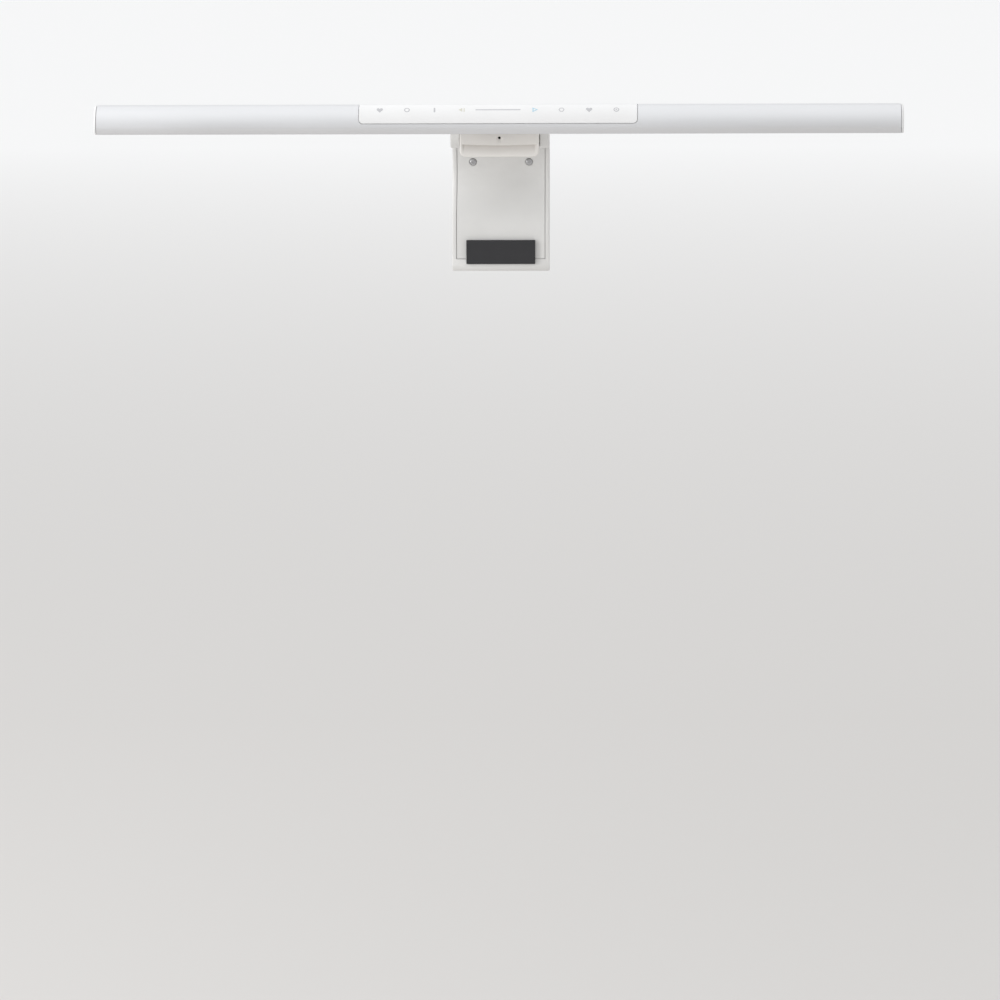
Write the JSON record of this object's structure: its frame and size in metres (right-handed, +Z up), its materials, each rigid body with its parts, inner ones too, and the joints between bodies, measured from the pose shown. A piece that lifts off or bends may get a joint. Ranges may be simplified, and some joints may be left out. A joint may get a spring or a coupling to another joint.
{
  "type": "monitor light bar",
  "caption": "Silver monitor light bar with a white touch panel, on a tilting clamp with a front lip plate and a rear counterweight arm.",
  "frame": {"origin": "Middle of the underside of the seat pad, where the clamp rests on the monitor's top edge.", "axes": "X runs along the bar to the viewer's right, -Y faces the user in front of the screen, +Z is up."},
  "size_m": [0.5, 0.1067, 0.1099],
  "materials": {
    "silver_aluminium": "bead-blasted and clear anodised, satin",
    "cap_silver": "moulded cap painted satin silver",
    "panel_white": "white moulded panel, semi-gloss",
    "clamp_plastic": "warm pale grey plastic, fine matt texture",
    "body_plastic": "pale grey plastic, matt",
    "opal_plastic": "opal diffusing plastic",
    "silicone": "matt silicone pad",
    "steel": "plated steel",
    "zinc": "cast counterweight",
    "rail_aluminium": "mill-finish extrusion",
    "reflector_film": "bright film",
    "circuit_board": "solder mask on glass fibre",
    "led_board": "white solder mask with light-emitting chips",
    "acetal": "natural acetal",
    "sensor_lens": "smoked lens"
  },
  "bodies": {
    "clamp": {"clamp_body": "body_plastic", "clamp_base_plate": "body_plastic", "base_screw_left": "steel", "base_screw_right": "steel", "seat_pad": "silicone", "lip_pad": "silicone", "clamp_front_plate": "clamp_plastic", "motion_sensor_lens": "sensor_lens", "motion_sensor_board": "circuit_board", "tilt_shaft": "steel", "shaft_nut_left": "steel", "shaft_nut_right": "steel", "friction_washer_left": "acetal", "friction_washer_right": "acetal", "arm_pin": "steel", "arm_bush_left": "acetal", "arm_bush_right": "acetal"},
    "lamp": {"lamp_housing": "silver_aluminium", "end_cap_left": "cap_silver", "end_cap_right": "cap_silver", "touch_panel": "panel_white", "rear_cover": "body_plastic", "light_diffuser": "opal_plastic", "slider_light_guide": "opal_plastic", "tilt_bracket": "steel", "bracket_backing_plate": "steel", "bracket_screw_1": "steel", "bracket_screw_2": "steel", "bracket_screw_3": "steel", "bracket_screw_4": "steel", "usb_c_receptacle": "steel", "heat_sink_rail": "rail_aluminium", "reflector": "reflector_film", "touch_board": "circuit_board", "control_board": "circuit_board", "led_board_left": "led_board", "led_board_right": "led_board"},
    "rear_arm": {"arm_shell": "body_plastic", "arm_inner_cover": "body_plastic", "arm_cover_screw_left": "steel", "arm_cover_screw_right": "steel", "counterweight": "zinc", "arm_pad": "silicone", "pin_cap_left": "body_plastic", "pin_cap_right": "body_plastic"}
  },
  "joints": [
    {"name": "lamp_tilt", "type": "hinge", "parent": "clamp", "child": "lamp", "pos_m": [0, -0.016, 0.0185], "axis": [1, 0, 0], "range_deg": [-15, 20]},
    {"name": "arm_swing", "type": "hinge", "parent": "clamp", "child": "rear_arm", "pos_m": [0, 0.004, 0.01], "axis": [1, 0, 0], "range_deg": [-17, 40]}
  ]
}
